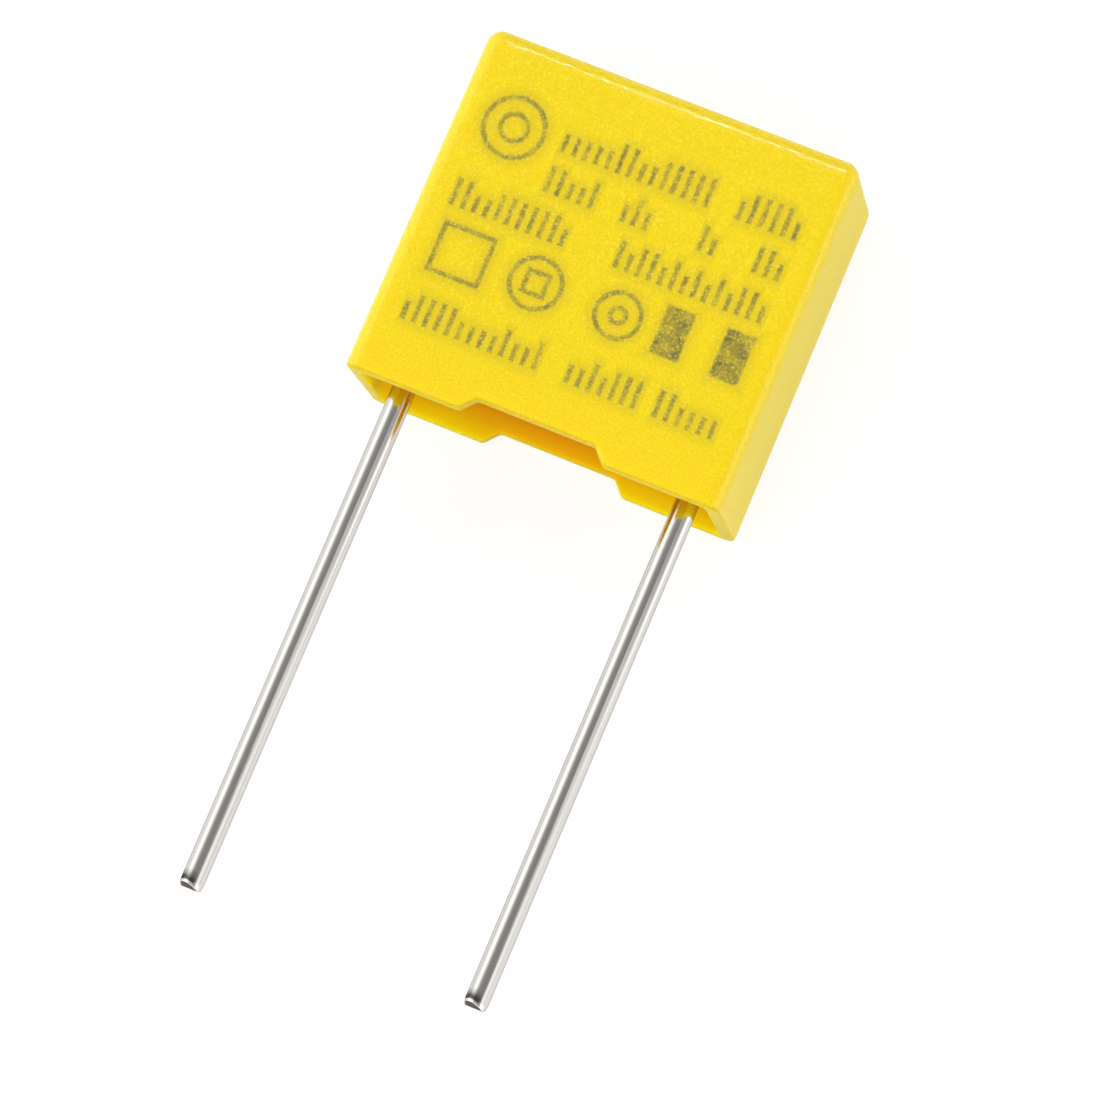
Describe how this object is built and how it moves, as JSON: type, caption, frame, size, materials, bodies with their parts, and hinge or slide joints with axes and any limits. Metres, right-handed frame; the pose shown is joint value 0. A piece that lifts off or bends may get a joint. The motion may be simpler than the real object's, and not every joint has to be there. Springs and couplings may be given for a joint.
{
  "type": "polypropylene film capacitor",
  "caption": "Box-type polypropylene film capacitor with a yellow potted case, notched seating feet and two straight round wire leads for a printed circuit board",
  "frame": {"origin": "Midway between the two lead axes, on the seating plane of the feet (y = 0) and on the plane of the back face (z = 0).", "axes": "+X from the left lead to the right lead, +Y from the leads to the closed end of the case, +Z out of the marked front face."},
  "size_m": [0.013, 0.0292, 0.006],
  "materials": {
    "case": "fine spark-eroded moulding grain, satin",
    "potting_resin": "cast, smooth, with a small meniscus at the walls and leads",
    "metallised_film": "smooth rolled film, hidden in the resin",
    "sprayed_metal": "rough thermal spray, hidden in the resin",
    "tinned_wire": "bright hot-dip tin, smooth along the drawing direction"
  },
  "bodies": {
    "root": {"case": "case", "epoxy_fill": "potting_resin", "film_winding": "metallised_film", "end_contact_left": "sprayed_metal", "end_contact_right": "sprayed_metal", "lead_left": "tinned_wire", "lead_right": "tinned_wire"}
  },
  "joints": []
}
